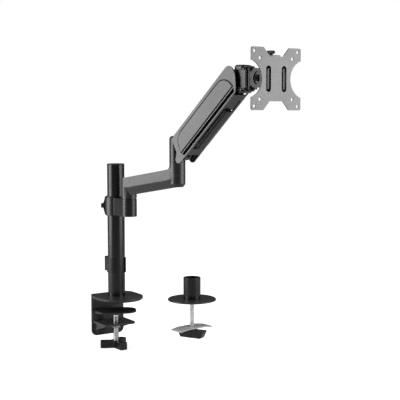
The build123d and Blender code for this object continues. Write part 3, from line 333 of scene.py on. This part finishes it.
def paintRecessShade(piece, side):  # painted shade: the sunk floor round the panel and its low walls take the near-black plastic
    piece.data.materials.append(finishes["recessShadePlastic"])
    outward = across * side
    outer = max(point.co.dot(outward) for point in piece.data.vertices)
    for face in piece.data.polygons:
        sunk = outer - face.center.dot(outward)
        if recess["depth"][0] < sunk < recess["depth"][1] and face.normal.dot(outward) > -0.2:
            face.material_index = 1


mergeWithin = 0.000002   # doubled points of a CAD mesh
creaseAngle = 28         # edges sharper than this, in degrees, are broken


def breakEdges(node, width, steps):
    piece = bpy.data.objects.new(node + ".finished", nodes[node].data.copy())
    bpy.context.scene.collection.objects.link(piece)
    selectOnly(piece)
    bpy.ops.object.mode_set(mode="EDIT")
    bpy.ops.mesh.select_all(action="SELECT")
    bpy.ops.mesh.remove_doubles(threshold=mergeWithin)
    bpy.ops.mesh.dissolve_limited(angle_limit=math.radians(0.8))
    bpy.ops.mesh.normals_make_consistent(inside=False)
    bpy.ops.object.mode_set(mode="OBJECT")
    bevel = piece.modifiers.new("brokenEdge", "BEVEL")
    bevel.width = width
    bevel.segments = steps
    bevel.limit_method = "ANGLE"
    bevel.angle_limit = math.radians(creaseAngle)
    bevel.miter_outer = "MITER_SHARP"
    applyModifiers(piece)
    smooth(piece)
    if node in recess["sides"]:
        paintRecessShade(piece, recess["sides"][node])
    handOver(piece, node)


for node, (width, steps) in brokenEdges.items():
    breakEdges(node, width, steps)
print("edges broken on", len(brokenEdges), "pieces")


def editOn(piece):
    selectOnly(piece)
    bpy.ops.object.mode_set(mode="EDIT")
    bpy.ops.mesh.select_all(action="SELECT")


def editOff():
    bpy.ops.object.mode_set(mode="OBJECT")


def pickFaces(piece, test):  # selects the faces whose centre and normal pass the test
    bpy.ops.mesh.select_mode(type="FACE")
    bpy.ops.mesh.select_all(action="DESELECT")
    editOff()
    for face in piece.data.polygons:
        face.select = bool(test(face.center, face.normal))
    bpy.ops.object.mode_set(mode="EDIT")


def pickPoints(piece, test):  # selects the vertices whose place passes the test
    bpy.ops.mesh.select_mode(type="VERT")
    bpy.ops.mesh.select_all(action="DESELECT")
    editOff()
    for point in piece.data.vertices:
        point.select = bool(test(point.co))
    bpy.ops.object.mode_set(mode="EDIT")


def joinAll(name, pieces):
    bpy.ops.object.select_all(action="DESELECT")
    for piece in pieces:
        piece.select_set(True)
    bpy.context.view_layer.objects.active = pieces[0]
    bpy.ops.object.join()
    pieces[0].name = name
    return pieces[0]


onLevel = 0.00002   # a point this near a level, in metres, lies on it


def turnedRod(radius, low, high, chamfer, corners=48):  # upright rod with both rims chamfered
    bpy.ops.object.select_all(action="DESELECT")
    bpy.ops.mesh.primitive_cylinder_add(vertices=corners, radius=radius, depth=high - low,
                                        location=(0, 0, (low + high) / 2))
    rod = bpy.context.object
    bpy.ops.object.transform_apply(location=True, rotation=True, scale=True)
    editOn(rod)
    for level in (low, high):
        pickFaces(rod, lambda centre, normal: abs(centre.z - level) < onLevel and abs(normal.z) > 0.9)
        bpy.ops.mesh.inset(thickness=chamfer, depth=0.0)
        pickPoints(rod, lambda spot: abs(spot.z - level) < onLevel and spot.xy.length > radius - chamfer / 2)
        bpy.ops.transform.translate(value=(0, 0, chamfer if level == low else -chamfer))
    editOff()
    return rod


ridgeForm = {"foot": 0.94, "crest": 0.16}   # shares of the pitch and of the foot's height


def helixRidge(outer, root, pitch, low, turns, steps=24):  # one thread, swept round and closed
    bpy.ops.object.select_all(action="DESELECT")
    bpy.ops.mesh.primitive_plane_add(size=1.0, location=(0, 0, 0), rotation=(math.radians(90), 0, 0))
    ridge = bpy.context.object
    bpy.ops.object.transform_apply(location=True, rotation=True, scale=True)
    editOn(ridge)
    bpy.ops.transform.resize(value=(outer - root, 1, pitch * ridgeForm["foot"]), center_override=(0, 0, 0))
    bpy.ops.transform.translate(value=((outer + root) / 2, 0, low))
    pickPoints(ridge, lambda spot: spot.x > (outer + root) / 2)
    bpy.ops.transform.resize(value=(1, 1, ridgeForm["crest"]), center_override=(outer, 0, low))
    bpy.ops.mesh.select_all(action="SELECT")
    bpy.ops.mesh.delete(type="ONLY_FACE")
    editOff()
    sweep = ridge.modifiers.new("thread", "SCREW")
    sweep.axis = "Z"
    sweep.angle = math.radians(360)
    sweep.screw_offset = pitch
    sweep.iterations = turns
    sweep.steps = steps
    sweep.render_steps = steps
    applyModifiers(ridge)
    editOn(ridge)
    bpy.ops.mesh.fill_holes(sides=6)
    bpy.ops.mesh.select_all(action="SELECT")
    bpy.ops.mesh.normals_make_consistent(inside=False)
    editOff()
    return ridge


def placeOn(piece, x, y, finish):  # from the world's axis to the piece's own, with its finish
    editOn(piece)
    bpy.ops.transform.translate(value=(x, y, 0))
    editOff()
    smooth(piece)
    piece.data.materials.clear()
    piece.data.materials.append(finishes[finish])


# clamp screw with its helical thread, and the swivelling head that turns in the pad
clampScrew = {
    "outer": 0.006, "core": 0.0053, "sink": 0.0002, "pitch": 0.0015, "chamfer": 0.0006,
    "headHeight": 0.0037, "headPlay": 0.00002, "headChamfer": 0.0005,   # head in the pad's socket
    "plainTop": 0.0075, "plainEnds": 0.001,   # bare neck below the head's top, and bare metal past the thread
}
low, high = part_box("clamp_screw")
axisX, axisY = (low.x + high.x) / 2, (low.y + high.y) / 2
shank = turnedRod(clampScrew["core"], low.z, high.z - clampScrew["plainEnds"], clampScrew["chamfer"])
head = turnedRod((high.x - low.x) / 2 - clampScrew["headPlay"], high.z - clampScrew["headHeight"], high.z,
                 clampScrew["headChamfer"])
threaded = high.z - clampScrew["plainTop"] - low.z - 2 * clampScrew["plainEnds"]
ridge = helixRidge(clampScrew["outer"], clampScrew["core"] - clampScrew["sink"], clampScrew["pitch"],
                   low.z + clampScrew["plainEnds"], int(threaded / clampScrew["pitch"]))
screw = joinAll("clampScrew", [shank, head, ridge])
placeOn(screw, axisX, axisY, "brightSteel")
handOver(screw, "clamp_screw")

# threaded rod of the grommet base, with the nut that draws the post down
grommetRod = {
    "outer": 0.0046, "core": 0.004, "sink": 0.0002, "pitch": 0.0015, "chamfer": 0.0006, "plainEnds": 0.001,
    "nutAcross": 0.015, "nutLow": 0.0035, "nutHeight": 0.007, "nutChamfer": 0.0007,
}
low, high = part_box("grommet_rod")
axisX, axisY = (low.x + high.x) / 2, (low.y + high.y) / 2
shank = turnedRod(grommetRod["core"], low.z, high.z, grommetRod["chamfer"])
threaded = high.z - low.z - 2 * grommetRod["plainEnds"]
ridge = helixRidge(grommetRod["outer"], grommetRod["core"] - grommetRod["sink"], grommetRod["pitch"],
                   low.z + grommetRod["plainEnds"], int(threaded / grommetRod["pitch"]))
nut = turnedRod(grommetRod["nutAcross"] / math.sqrt(3), grommetRod["nutLow"],
                grommetRod["nutLow"] + grommetRod["nutHeight"], grommetRod["nutChamfer"], corners=6)
rod = joinAll("grommetRod", [shank, ridge, nut])
placeOn(rod, axisX, axisY, "brightSteel")
handOver(rod, "grommet_rod")

# thumb screw over the plate's lug: knurled head with a dished top
thumbScrew = {
    "headRadius": 0.008, "headHeight": 0.0055, "headPlay": 0.00005, "teeth": 26, "toothDepth": 0.00045,
    "rim": 0.0008, "flatRing": 0.0016, "dishSlope": 0.0008, "dish": 0.0006,
    "neckRadius": 0.004, "neckHeight": 0.003, "neckSunk": 0.0005, "neckChamfer": 0.0003,
    "shankRadius": 0.0025, "coreInside": 0.0004, "coreCorners": 32,
    "threadPitch": 0.0008, "threadSunk": 0.0006, "threadStart": 0.0006, "plainEnds": 0.001, "threadSteps": 18,
}
low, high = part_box("thumb_screw")
axisX, axisY = (low.x + high.x) / 2, (low.y + high.y) / 2
headLow = high.z - thumbScrew["headHeight"]
neckLow = headLow - thumbScrew["neckHeight"]
knurled = turnedRod(thumbScrew["headRadius"] - thumbScrew["headPlay"], headLow, high.z, thumbScrew["rim"],
                    corners=2 * thumbScrew["teeth"])
editOn(knurled)
sector = math.pi / thumbScrew["teeth"]
outside = thumbScrew["headRadius"] - thumbScrew["rim"] / 2
pickPoints(knurled, lambda spot: (spot.xy.length > outside
                                  and round(math.atan2(spot.y, spot.x) / sector) % 2 == 0))
inward = 1 - thumbScrew["toothDepth"] / thumbScrew["headRadius"]
bpy.ops.transform.resize(value=(inward, inward, 1), center_override=(0, 0, headLow))
pickFaces(knurled, lambda centre, normal: normal.z > 0.9 and centre.xy.length < 0.001)
bpy.ops.mesh.inset(thickness=thumbScrew["flatRing"], depth=0.0)
bpy.ops.mesh.inset(thickness=thumbScrew["dishSlope"], depth=-thumbScrew["dish"])
editOff()
neck = turnedRod(thumbScrew["neckRadius"], neckLow, headLow + thumbScrew["neckSunk"],
                 thumbScrew["neckChamfer"])
shank = turnedRod(thumbScrew["shankRadius"] - thumbScrew["coreInside"], low.z, headLow,
                  thumbScrew["coreInside"], corners=thumbScrew["coreCorners"])
threaded = neckLow - low.z - thumbScrew["plainEnds"]
ridge = helixRidge(thumbScrew["shankRadius"], thumbScrew["shankRadius"] - thumbScrew["threadSunk"],
                   thumbScrew["threadPitch"], low.z + thumbScrew["threadStart"],
                   int(threaded / thumbScrew["threadPitch"]), thumbScrew["threadSteps"])
thumb = joinAll("thumbScrew", [knurled, neck, shank, ridge])
placeOn(thumb, axisX, axisY, "blackPlastic")
handOver(thumb, "thumb_screw")
print("screws threaded and the thumb screw knurled")


camera = {
    "place": (-0.9634, -1.8089, 0.3956),
    "turn": 33.22,         # degrees from straight ahead towards the right
    "dip": 4.98,           # degrees below level
    "lens": 83.74,
}
cameraData = bpy.data.cameras.new("camera")
cameraData.lens = camera["lens"]
cameraData.sensor_width = 36.0
cameraData.clip_start = 0.05
cameraObject = bpy.data.objects.new("camera", cameraData)
bpy.context.scene.collection.objects.link(cameraObject)
cameraObject.location = camera["place"]
cameraObject.rotation_euler = (math.radians(90 - camera["dip"]), 0, -math.radians(camera["turn"]))
bpy.context.scene.camera = cameraObject


studio = {
    "middle": (0.02, -0.2, 0.25),
    "floorSize": 14.0,
    "floorDrop": 0.002,         # floor below the lowest point
    "floorColour": (0.5, 0.5, 0.5, 1),
    "glowNear": (0.35, 0.85),   # distance from the middle, glow of the white floor
    "glowFar": (1.1, 1.0),
    "floorGloss": 0.2,          # share of the glow that gloss sees
    "worldLight": 0.08,         # light from all round
    "worldGloss": 0.1,          # what gloss sees of the backdrop
}
sideLamps = {  # degrees to the left of the camera's side, then metres and watts
    "leftLamp": {"angle": 83.0, "distance": 1.7, "height": 0.7, "width": 1.3, "tall": 1.7, "power": 50.0},
    "rightLamp": {"angle": -77.0, "distance": 1.7, "height": 0.7, "width": 1.5, "tall": 1.7, "power": 36.0},
}
topLamp = {"behind": 0.2, "height": 2.1, "width": 1.6, "tall": 1.6, "power": 12.0}


def lampAt(name, place, width, tall, power):
    data = bpy.data.lights.new(name, "AREA")
    data.shape = "RECTANGLE"
    data.size = width
    data.size_y = tall
    data.energy = power
    lamp = bpy.data.objects.new(name, data)
    bpy.context.scene.collection.objects.link(lamp)
    lamp.location = place
    lamp.rotation_euler = (Vector(studio["middle"]) - Vector(place)).to_track_quat("-Z", "Y").to_euler()


def sideLamp(name, angle, distance, height, width, tall, power):
    heading = math.radians(180 + 90 - camera["turn"] - angle)   # towards the camera, then round to the left
    middle = studio["middle"]
    lampAt(name, (middle[0] + distance * math.cos(heading), middle[1] + distance * math.sin(heading), height),
           width, tall, power)


for name, lamp in sideLamps.items():
    sideLamp(name, **lamp)
lampAt("topLamp", (studio["middle"][0], studio["middle"][1] + topLamp["behind"], topLamp["height"]),
       topLamp["width"], topLamp["tall"], topLamp["power"])

bpy.ops.object.select_all(action="DESELECT")
bpy.ops.mesh.primitive_plane_add(size=studio["floorSize"], location=(0, 0, cadLow.z - studio["floorDrop"]))
floor = bpy.context.object
floor.name = "floor"
floorMaterial = bpy.data.materials.new("floorWhite")
floorMaterial.use_nodes = True
floorMaterial.node_tree.nodes.remove(floorMaterial.node_tree.nodes["Principled BSDF"])
white = Graph(floorMaterial.node_tree)
away = white.node("ShaderNodeVectorMath", {"operation": "LENGTH"},
                  {0: white.node("ShaderNodeTexCoord", out="Object")}, out="Value")
brightness = white.ramp(away, studio["glowNear"], studio["glowFar"])
glow = white.node("ShaderNodeEmission", {}, {"Strength": brightness})
seen = white.larger(white.cameraSees(), white.ray("Is Glossy Ray") * studio["floorGloss"])
unlit = white.node("ShaderNodeEmission", {}, {"Strength": 0.0})
backdrop = white.node("ShaderNodeMixShader", {}, {0: seen, 1: unlit, 2: glow})
diffuse = white.node("ShaderNodeBsdfDiffuse", {}, {"Color": studio["floorColour"]})
surface = white.node("ShaderNodeAddShader", {}, {0: diffuse, 1: backdrop})
white.plug(white.tree.nodes["Material Output"].inputs["Surface"], surface)
floor.data.materials.append(floorMaterial)

world = bpy.data.worlds.new("studio")
bpy.context.scene.world = world
world.use_nodes = True
sky = Graph(world.node_tree)
gloss = sky.ramp(sky.ray("Is Glossy Ray"), (0.0, studio["worldLight"]), (1.0, studio["worldGloss"]))
level = sky.ramp(sky.cameraSees(), (0.0, gloss), (1.0, 1.0))
background = sky.tree.nodes["Background"]
sky.plug(background.inputs["Color"], (1, 1, 1, 1))
sky.plug(background.inputs["Strength"], level)

bpy.context.scene.view_settings.view_transform = "Standard"
print("camera, lamps and floor are in place")
